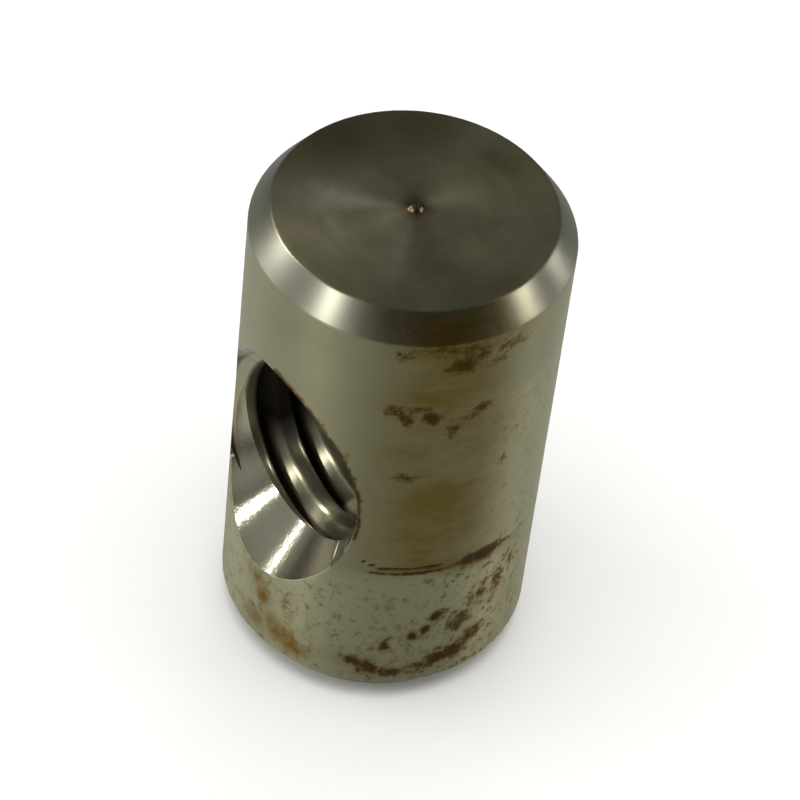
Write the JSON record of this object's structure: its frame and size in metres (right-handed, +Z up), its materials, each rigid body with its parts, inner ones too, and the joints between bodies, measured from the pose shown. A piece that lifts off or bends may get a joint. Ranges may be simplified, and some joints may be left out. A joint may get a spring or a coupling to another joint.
{
  "type": "cross dowel nut",
  "caption": "Round steel barrel nut with bevelled ends and a countersunk, tapped cross hole, for knock-down furniture joints.",
  "frame": {"origin": "centre of the barrel's lower end face", "axes": "+Z up the barrel, -Y out of the countersunk mouth of the cross hole"},
  "size_m": [0.0112, 0.0112, 0.0192],
  "materials": {
    "steel": "turned mild steel, dull, with spots of rust"
  },
  "bodies": {
    "root": {"dowel_nut": "steel"}
  },
  "joints": []
}
